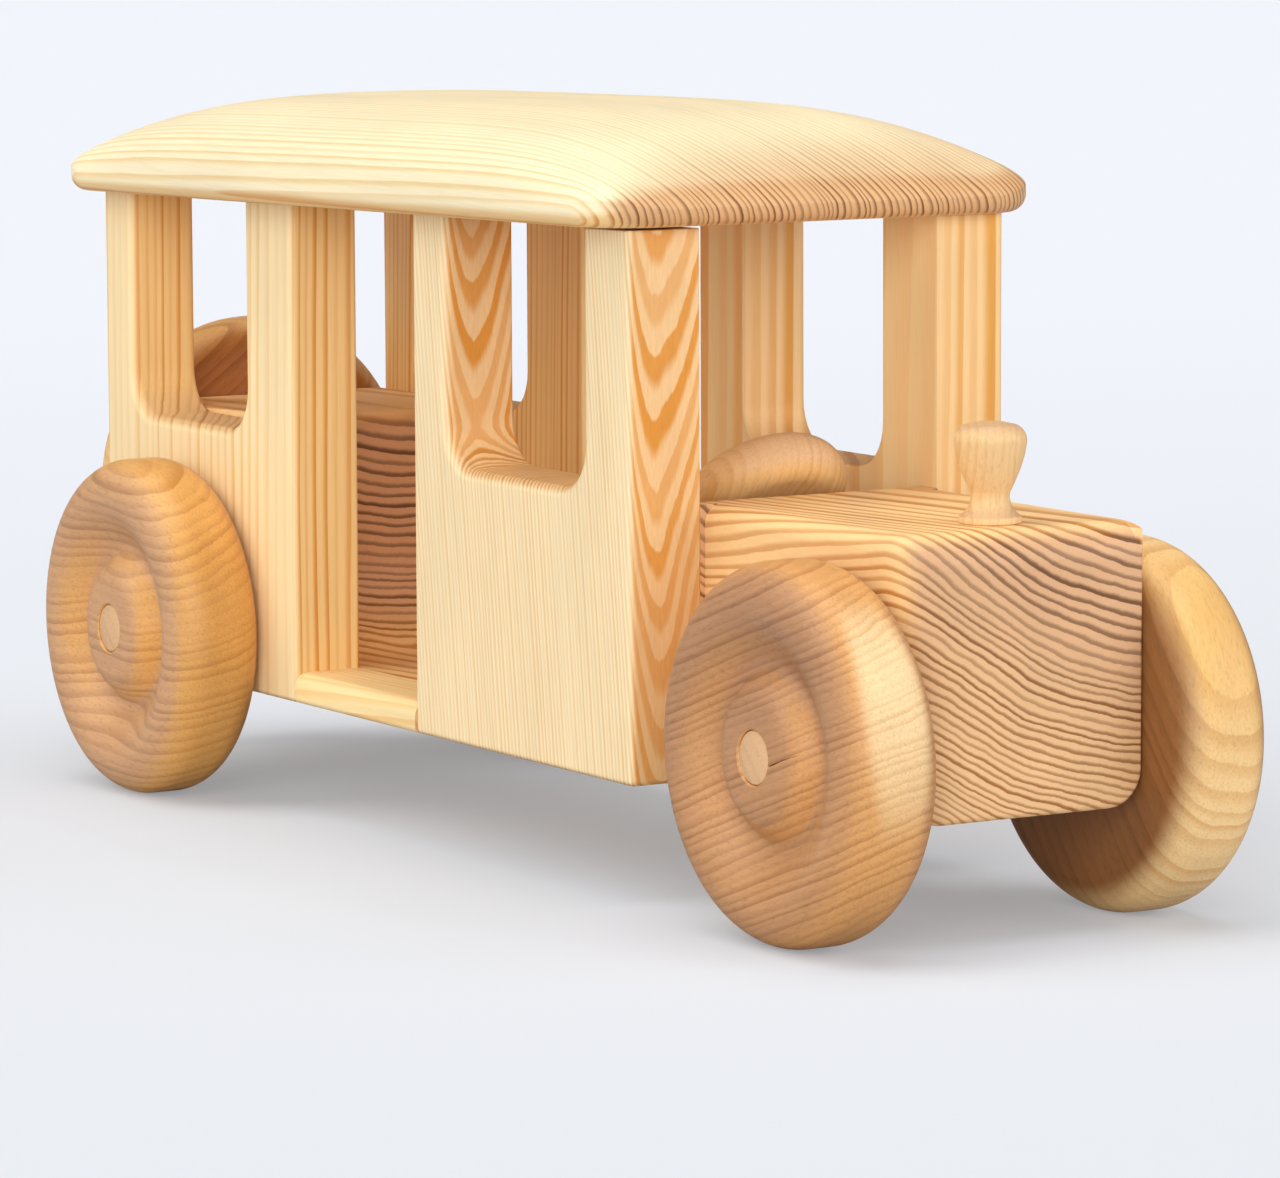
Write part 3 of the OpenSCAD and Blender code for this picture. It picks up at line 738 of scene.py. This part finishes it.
def roof_tree():
    """The roof by rule: rows run from the crown's middle over the edge and back under to the middle."""
    tree, given = started_tree("pillow roof", {
        "Base": "Geometry", "Length": "Float", "Width": "Float", "Corner radius": "Float", "Rise": "Float",
        "Under radius": "Float", "Over height": "Float", "Over reach": "Float", "Centre": "Vector",
        "Turn": "Vector", "Wood": "Material",
    })
    around = 384
    crown_rows = 60
    edge_rows = 8
    under_rows = 6
    rows = crown_rows + edge_rows + under_rows + 2
    edge_start = crown_rows + 1.0
    edge_end = edge_start + edge_rows

    # The plan's outline, and a place on it for each column
    plan = add(tree, "GeometryNodeCurvePrimitiveQuadrilateral", {
        "Width": given["Length"], "Height": given["Width"],
    })
    fillet = add(tree, "GeometryNodeFilletCurve", {
        "Curve": plan, "Radius": given["Corner radius"], "Count": 16,
    }, mode="POLY")
    grid = add(tree, "GeometryNodeMeshGrid", {"Vertices X": around + 1, "Vertices Y": rows})
    index = add(tree, "GeometryNodeInputIndex")
    column = add(tree, "FunctionNodeIntegerMath", {0: index, 1: rows}, operation="DIVIDE_FLOOR")
    row = add(tree, "FunctionNodeIntegerMath", {0: index, 1: rows}, operation="MODULO")
    share = add(tree, "ShaderNodeMath", {0: column, 1: around}, operation="DIVIDE")
    rim = add(tree, "GeometryNodeSampleCurve", {"Curves": fillet, "Factor": share}, take="Position",
              use_all_curves=True)
    beside = add(tree, "ShaderNodeVectorMath", {0: rim.node.outputs["Tangent"], 1: (0, 0, 1)},
                 operation="CROSS_PRODUCT")
    same = add(tree, "ShaderNodeVectorMath", {0: beside, 1: rim}, take="Value", operation="DOT_PRODUCT")
    sense = add(tree, "ShaderNodeMath", {0: same}, operation="SIGN")
    outwards = add(tree, "ShaderNodeVectorMath", {0: beside, "Scale": sense}, operation="SCALE")

    # How far each row has come: over the crown, round the lower edge, and back underneath
    over = add(tree, "ShaderNodeMapRange", {"Value": row, "From Max": float(crown_rows)})
    left = add(tree, "ShaderNodeMath", {0: 1.0, 1: over}, operation="SUBTRACT")
    left_cubed = add(tree, "ShaderNodeMath", {0: left, 1: 3.0}, operation="POWER")
    reach = add(tree, "ShaderNodeMath", {0: 1.0, 1: left_cubed}, operation="SUBTRACT")
    bend = add(tree, "ShaderNodeMapRange", {
        "Value": row, "From Min": edge_start, "From Max": edge_end, "To Max": math.pi / 2,
    })
    back = add(tree, "ShaderNodeMapRange", {
        "Value": row, "From Min": edge_end, "From Max": rows - 1.0, "To Min": 1.0, "To Max": 0.0,
    })
    flat = add(tree, "ShaderNodeMath", {0: bend}, operation="COSINE")
    steep = add(tree, "ShaderNodeMath", {0: bend}, operation="SINE")
    in_share = add(tree, "ShaderNodeMath", {0: flat, 1: 1.0}, operation="SUBTRACT")
    inset = add(tree, "ShaderNodeMath", {0: in_share, 1: given["Under radius"]}, operation="MULTIPLY")
    inward = add(tree, "ShaderNodeVectorMath", {0: outwards, "Scale": inset}, operation="SCALE")
    edge = add(tree, "ShaderNodeVectorMath", {0: rim, 1: inward}, operation="ADD")
    scale = add(tree, "ShaderNodeMath", {0: reach, 1: back}, operation="MULTIPLY")
    spot = add(tree, "ShaderNodeVectorMath", {0: edge, "Scale": scale}, operation="SCALE")

    # Round upper edge, by the distance that a place on the crown still has to the rim
    to_rim = add(tree, "ShaderNodeVectorMath", {0: outwards, 1: rim}, take="Value", operation="DOT_PRODUCT")
    short_of = add(tree, "ShaderNodeMath", {0: left_cubed, 1: to_rim}, operation="MULTIPLY")
    in_bend = add(tree, "ShaderNodeMath", {
        0: short_of, 1: given["Over reach"],
    }, operation="DIVIDE", use_clamp=True)
    still = add(tree, "ShaderNodeMath", {0: 1.0, 1: in_bend}, operation="SUBTRACT")
    still_squared = add(tree, "ShaderNodeMath", {0: still, 1: still}, operation="MULTIPLY")
    risen = add(tree, "ShaderNodeMath", {0: 1.0, 1: still_squared}, operation="SUBTRACT", use_clamp=True)
    bulge = add(tree, "ShaderNodeMath", {0: risen}, operation="SQRT")
    edge_top = add(tree, "ShaderNodeMath", {
        0: bulge, 1: given["Over height"], 2: given["Under radius"],
    }, operation="MULTIPLY_ADD")

    # Height: the crown's rule along both axes, or the round lower edge
    parts = add(tree, "ShaderNodeSeparateXYZ", {"Vector": spot}).node.outputs
    crown = []
    for axis, size, power, soft in (("X", "Length", ROOF_END_POWER, ROOF_END_SOFT),
                                    ("Y", "Width", ROOF_SIDE_POWER, ROOF_SIDE_SOFT)):
        half = add(tree, "ShaderNodeMath", {0: given[size], 1: 2.0}, operation="DIVIDE")
        ratio = add(tree, "ShaderNodeMath", {0: parts[axis], 1: half}, operation="DIVIDE")
        far = add(tree, "ShaderNodeMath", {0: ratio}, operation="ABSOLUTE")
        fall = add(tree, "ShaderNodeMath", {0: far, 1: power}, operation="POWER")
        kept = add(tree, "ShaderNodeMath", {0: 1.0, 1: fall}, operation="SUBTRACT", use_clamp=True)
        crown.append(add(tree, "ShaderNodeMath", {0: kept, 1: soft}, operation="POWER"))
    swell = add(tree, "ShaderNodeMath", {0: crown[0], 1: crown[1]}, operation="MULTIPLY")
    top = add(tree, "ShaderNodeMath", {0: swell, 1: given["Rise"], 2: edge_top}, operation="MULTIPLY_ADD")
    down = add(tree, "ShaderNodeMath", {0: 1.0, 1: steep}, operation="SUBTRACT")
    low = add(tree, "ShaderNodeMath", {0: down, 1: given["Under radius"]}, operation="MULTIPLY")
    beyond = add(tree, "ShaderNodeMath", {0: row, 1: crown_rows + 0.5}, operation="GREATER_THAN")
    height = add(tree, "ShaderNodeMix", {0: beyond, 2: top, 3: low}, data_type="FLOAT")
    place = add(tree, "ShaderNodeCombineXYZ", {"X": parts["X"], "Y": parts["Y"], "Z": height})
    skin = add(tree, "GeometryNodeSetPosition", {"Geometry": grid, "Position": place})
    return end_tree(tree, given, skin, ROOF_MERGE)


# The crown and the near side face towards pale and are painted paler: a painted highlight of the lit top and
# side
roof_pine = wood(
    "oiled pine roof", PINE, ring=1.3, point=(80, 0, 130), along=(1, 0.02, -0.02), out=(0, 0.9, 0.42),
    wander=0.5, spread=2.4, pale=(0, -1, 1), early="#F7D294", early_pale="#FFEEC6", late_pale="#F5D598",
    early_end="#DFAE7A", late_end="#7C4A22", end_lean=(0, 0.42, 0), end_from=0.16, end_to=0.6,
)


def roof():
    """The roof at its pitch, with the middle of its underside where the panels' tops put it."""
    tree = roof_tree()
    piece = put("roof.wood", bpy.data.meshes.new("roof.wood"))
    pillow = piece.modifiers.new("pillow", "NODES")
    pillow.node_group = tree
    names = inputs_of(tree)
    middle_x = (ROOF_LOW.x + ROOF_HIGH.x) / 2
    sizes = {
        "Length": ROOF_HIGH.x - ROOF_LOW.x - ROOF_END_CLEAR, "Width": ROOF_HIGH.y - ROOF_LOW.y,
        "Corner radius": ROOF_CORNER_R, "Rise": ROOF_RISE, "Under radius": ROOF_UNDER_R,
        "Over height": ROOF_OVER_H, "Over reach": ROOF_OVER_REACH,
    }
    for label, size in sizes.items():
        pillow[names[label]] = size * MM
    pillow[names["Centre"]] = Vector((middle_x, 0, roof_under(middle_x))) * MM
    pillow[names["Turn"]] = (0.0, -math.radians(ROOF_PITCH), 0.0)
    pillow[names["Wood"]] = roof_pine
    return settle(piece)


show(roof(), "roof", "body")


# Wheels: a fat round rim, a turned cove and a domed hub, glued to the dowel in their middle

def wheel_section():
    """Half section of a wheel, from the bore over hub, cove and rim to the flat back and the bore again."""
    front = WHEEL_HALF
    rim_x = WHEEL_R - RIM_R
    tread = front - RIM_R
    mouth = AXLE_BORE_R + BORE_CHAMFER
    steps = 24
    section = []
    for i in range(steps):
        fall = (1 - math.cos(math.pi * (i / steps) ** HUB_FULLNESS)) / 2
        hub_x = mouth + (HUB_R - mouth) * i / steps
        section.append((hub_x, front - HUB_DROP - (GROOVE_DEPTH - HUB_DROP) * fall))
    for i in range(steps):
        left = (1 + math.cos(math.pi * (i / steps) ** DISH_HASTE)) / 2
        section.append((HUB_R + (rim_x - HUB_R) * i / steps, front - GROOVE_DEPTH * left))
    section += arc(rim_x, tread, RIM_R, 90, 0, 16)
    section += arc(rim_x, -tread, RIM_R, 0, -90, 16)
    section += [(HUB_R, -front), (mouth, -front), (AXLE_BORE_R, -front + BORE_CHAMFER)]
    section += [(AXLE_BORE_R, section[0][1] - BORE_CHAMFER), section[0]]
    return section


def crack(centre):
    """A tool for the drying crack in the near front hub: a thin wedge that runs out from the dowel."""
    beside = (CRACK_END - CRACK_START).cross(Vector((0, 1, 0))).normalized() * CRACK_HALF
    corners = (CRACK_START + beside, CRACK_END, CRACK_START - beside)
    bm = bmesh.new()
    depths = (Vector((0, -WHEEL_HALF - OVERLAP, 0)), Vector((0, -WHEEL_HALF + CRACK_DEPTH, 0)))
    rows = [[bm.verts.new(centre + corner + depth) for corner in corners] for depth in depths]
    bm.faces.new(rows[0])
    bm.faces.new(rows[1])
    bridge(bm, *rows)
    return solid("crack", bm)


WHEEL_SECTION = wheel_section()
# Each wheel: its body, the way that it faces, and how its wood is cut and coloured
# Painted light in the wheels' tints: the right wheels' pale side leans backwards, so their turned faces stay
# browner at the back and turn amber to the front, and the front right wheel's cream end grain at the front of
# its tread is a painted highlight
wheels = {
    "front_right_wheel": ("front_wheelset", (0, -1, 0), {
        "along": (0.95, 0, 0.32), "out": (0.2, 0.3, -0.95), "ring": 1.6, "pale": (-0.3, -1, 0.1), "sap": 0.35,
        "early": "#DDA262", "late": "#C4864A", "early_end": "#F8D8A4", "late_end": "#EBC288",
        "end_from": 0.74, "end_to": 0.97,
    }),
    # Turned faces darker than the near wheels': painted shade
    "front_left_wheel": ("front_wheelset", (0, 1, 0), {
        "along": (-0.6, 0.1, 0.78), "out": (0.78, 0.15, 0.6), "ring": 3.2, "pale": (0, 1, 0),
        "early": "#ECBC74", "late": "#D59C56", "early_pale": "#9A6638", "late_pale": "#86572C",
    }),
    "rear_right_wheel": ("rear_wheelset", (0, -1, 0), {
        "along": (0.99, 0, -0.07), "out": (-0.07, 0.3, -0.95), "ring": 2.2, "pale": (-0.2, -1, 0),
        "early_end": "#E2A558", "late_end": "#CF9048", "early_pale": "#D2A073", "late_pale": "#B5845A",
    }),
    "rear_left_wheel": ("rear_wheelset", (0, 1, 0), {
        "along": (0.9, 0, 0.3), "out": (-0.3, 0.3, 0.9), "ring": 2.4, "pale": (0, 1, 0),
    }),
    # Turned face darker than the near wheels': painted shade
    "spare_wheel": ("body", (-1, 0, 0), {
        "along": (0, 0.8, 0.6), "out": (0.3, -0.6, 0.8), "ring": 2.4, "pale": (-1, 0, 0),
        "early_pale": "#B0723C", "late_pale": "#965E2E",
    }),
}
for node, (body, axis, cutting) in wheels.items():
    low, high = span(node)
    centre = (low + high) / 2
    label = "oiled alder " + node.replace("_", " ")
    alder = wood(label, ALDER, point=centre, wander=1.0, both_faces=True, **cutting)
    wheel = turned(node + ".wood", WHEEL_SECTION, centre, axis, alder)
    if node == "front_right_wheel":
        dress(cut(wheel, crack(centre)), alder)
    show(wheel, node, body)


# Dowels: axles, peg and steering column with softly domed ends

def dowel_section(r, half):
    """Half section of a dowel with a slight dome and a broken edge at each end."""
    dome = [(0.0, half), (r * 0.4, half - 0.05), (r * 0.75, half - 0.18)]
    end = dome + [(r - 0.25, half - 0.38), (r, half - 0.75)]
    return end + [(x, -h) for x, h in reversed(end)]


for node, body, axis in (
    ("front_axle", "front_wheelset", (0, 1, 0)),
    ("rear_axle", "rear_wheelset", (0, 1, 0)),
    ("spare_wheel_peg", "body", (1, 0, 0)),
):
    low, high = span(node)
    centre = (low + high) / 2
    beech = wood("beech " + node.replace("_", " "), BEECH, ring=2.5, point=centre + Vector((8, 8, 8)),
                 along=axis, out=(0.6, 0.5, 0.6), bow=0.02)
    half = (high - low).dot(Vector(axis)) / 2
    dowel = turned(node + ".wood", dowel_section(AXLE_R, half), centre, axis, beech, DOWEL_SEGMENTS)
    show(dowel, node, body)


# Steering wheel on its sloping column

def steering_section():
    """Half section of a disc with a full round rim and a shallow dish on both faces."""
    rim_x = STEERING_R - STEERING_HALF
    dish = [(0.0, STEERING_HALF - 0.4), (COLUMN_R, STEERING_HALF - 0.5), (rim_x * 0.75, STEERING_HALF - 0.2)]
    rim = arc(rim_x, 0.0, STEERING_HALF, 90, -90, 28)
    return dish + rim + [(x, -h) for x, h in reversed(dish)]


steering_beech = wood(
    "oiled beech steering wheel", BEECH, ring=2.0, point=steering_centre, along=(0.6, 0.1, 0.8),
    out=(0, 1, 0), early="#F2C482", late="#E4AE68",
)
disc = turned("steering_wheel.wood", steering_section(), steering_centre, column_axis, steering_beech)
show(disc, "steering_wheel", "steering")
column_beech = wood("beech steering column", BEECH, ring=2.5, point=steering_centre + Vector((5, 6, 0)),
                    along=column_axis, out=(0.5, 0.8, 0.2))
column = turned("steering_column.wood", dowel_section(COLUMN_R, COLUMN_L / 2), (COLUMN_LOW + COLUMN_HIGH) / 2,
                column_axis, column_beech, DOWEL_SEGMENTS)
show(column, "steering_column", "steering")


# Radiator cap: foot, waisted neck and a head that swells upwards

def cap_section():
    """Half section of the turned cap, from its crown down to the foot."""
    crown = [(0.0, CAP_H), (2.6, CAP_H - 0.1), (4.4, CAP_H - 0.5)]
    head = arc(3.6, 15.0, 3.05, 70, -12, 12)
    cone = [(6.3, 12.6), (5.5, 9.9), (4.5, 7.5), (3.75, 5.9)]
    neck = [(3.6, 5.6), (3.55, 4.6), (3.75, 3.6), (4.3, 2.5), (5.2, 1.6), (5.6, 1.35)]
    foot = [(5.75, 1.1), (5.75, 0.25), (5.5, 0.0), (0.0, 0.0)]
    return crown + head + cone + neck + foot


cap_beech = wood(
    "oiled beech radiator cap", BEECH, ring=1.4, point=(140, 4, 80), along=(0.03, 0.03, 1),
    out=(0.5, 0.86, 0),
)
cap_x = (CAP_LOW.x + CAP_HIGH.x) / 2
cap = turned("radiator_cap.wood", cap_section(), (cap_x, CAP_OFFSET, BONNET_TOP), (0, 0, 1), cap_beech)
show(cap, "radiator_cap", "body")

# Hidden dowels between posts and roof
dowel_beech = wood("beech roof dowels", BEECH, ring=2.5, point=(0, 0, 120), along=(0, 0, 1), out=(1, 0.3, 0))
dress(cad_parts["roof_dowels"], dowel_beech)


# Stage: a pale floor, soft light from five far lamps, and the camera

# Share of the floor's paleness that the camera sees even in shadow, as in a high-key studio picture
SHADOW_HAZE = 0.33
# Bumps of the paper to a metre, and how far behind the bus it is lightest, in metres
TOOTH_PER_METRE = 900.0
FADE_END = 1.4


def paper(name, near, far, bounce):
    """Matt paper with a barely visible tooth, lighter far behind the bus, that bounces less light."""
    material = bpy.data.materials.new(name)
    material.use_nodes = True
    tree = material.node_tree
    tree.nodes.clear()
    seen = add(tree, "ShaderNodeTexCoord", take="Object")
    tooth = add(tree, "ShaderNodeTexNoise", {"Vector": seen, "Scale": TOOTH_PER_METRE, "Detail": 2.0})
    relief = add(tree, "ShaderNodeBump", {"Height": tooth, "Strength": 0.1, "Distance": 0.05 * MM})
    behind = add(tree, "ShaderNodeVectorMath", {
        0: seen, 1: (-1, 0.4, 0),
    }, take="Value", operation="DOT_PRODUCT")
    fade = add(tree, "ShaderNodeMapRange", {"Value": behind, "From Min": 0.0, "From Max": FADE_END})
    tint = add(tree, "ShaderNodeMix", {0: fade, 6: linear(near), 7: linear(far)}, take=2, data_type="RGBA")
    path = add(tree, "ShaderNodeLightPath", take="Is Camera Ray")
    lit_tint = add(tree, "ShaderNodeMix", {0: path, 6: linear(bounce), 7: tint}, take=2, data_type="RGBA")
    lit = add(tree, "ShaderNodeBsdfDiffuse", {"Color": lit_tint, "Normal": relief})
    glow = add(tree, "ShaderNodeEmission", {"Color": tint})
    haze = add(tree, "ShaderNodeMath", {0: path, 1: SHADOW_HAZE}, operation="MULTIPLY")
    shader = add(tree, "ShaderNodeMixShader", {0: haze, 1: lit, 2: glow})
    add(tree, "ShaderNodeOutputMaterial", {"Surface": shader})
    return material


# Half the width of the floor, in metres
FLOOR_HALF = 30.0
floor_mesh = bpy.data.meshes.new("floor")
corners = [(x * FLOOR_HALF, y * FLOOR_HALF, 0) for x, y in ((-1, -1), (1, -1), (1, 1), (-1, 1))]
floor_mesh.from_pydata(corners, [], [(0, 1, 2, 3)])
floor_mesh.materials.append(paper("pale paper", "#E3E6EB", "#EAEDF3", "#BCBEC2"))
put("floor", floor_mesh)

world = bpy.data.worlds.new("studio")
bpy.context.scene.world = world
world.use_nodes = True
world.node_tree.nodes.clear()
sky = add(world.node_tree, "ShaderNodeBackground", {"Color": linear("#F4F6FA"), "Strength": 0.2})
add(world.node_tree, "ShaderNodeOutputWorld", {"Surface": sky})


def lamp(name, toward, strength, spread):
    """A far soft lamp that shines from one direction; a strength of 1 lights a facing white card to white."""
    light = bpy.data.lights.new(name, "SUN")
    light.energy = strength * math.pi
    light.angle = math.radians(spread)
    put(name, light).rotation_euler = Vector(toward).to_track_quat("Z", "Y").to_euler()


# Left and right are the picture's
lamp("left softbox", (-0.25, -0.60, 0.75), 0.33, 45)
lamp("low left softbox", (-0.30, -0.93, 0.20), 0.13, 55)
lamp("low front softbox", (0.77, -0.61, 0.13), 0.78, 55)
lamp("right softbox", (0.70, 0.65, 0.28), 0.44, 55)
lamp("top softbox", (0.0, 0.0, 1.0), 0.39, 45)

# The photograph's view: azimuth from the body's right side, elevation and roll in degrees, lens in pixels
VIEW_AZIMUTH = math.radians(58.95)
VIEW_ELEVATION = math.radians(7.0)
VIEW_ROLL = math.radians(-0.24)
VIEW_FROM = Vector((1040.80, -618.75, 197.93))
PHOTO_WIDTH = 1280
FOCAL_PIXELS = 6109.09
level_back = Vector((math.sin(VIEW_AZIMUTH), -math.cos(VIEW_AZIMUTH), 0))
level = Vector((math.cos(VIEW_AZIMUTH), math.sin(VIEW_AZIMUTH), 0))
backward = level_back * math.cos(VIEW_ELEVATION) + Vector((0, 0, math.sin(VIEW_ELEVATION)))
upward = backward.cross(level)
rightward = level * math.cos(VIEW_ROLL) + upward * math.sin(VIEW_ROLL)
upward = backward.cross(rightward)
camera = bpy.data.cameras.new("camera")
camera.sensor_fit = "HORIZONTAL"
camera.lens = FOCAL_PIXELS / PHOTO_WIDTH * camera.sensor_width
camera.clip_end = 100.0
viewer = put("camera", camera)
view_turn = Matrix((rightward, upward, backward)).transposed().to_4x4()
viewer.matrix_world = Matrix.Translation(VIEW_FROM * MM) @ view_turn
bpy.context.scene.camera = viewer
bpy.context.scene.view_settings.view_transform = "Standard"
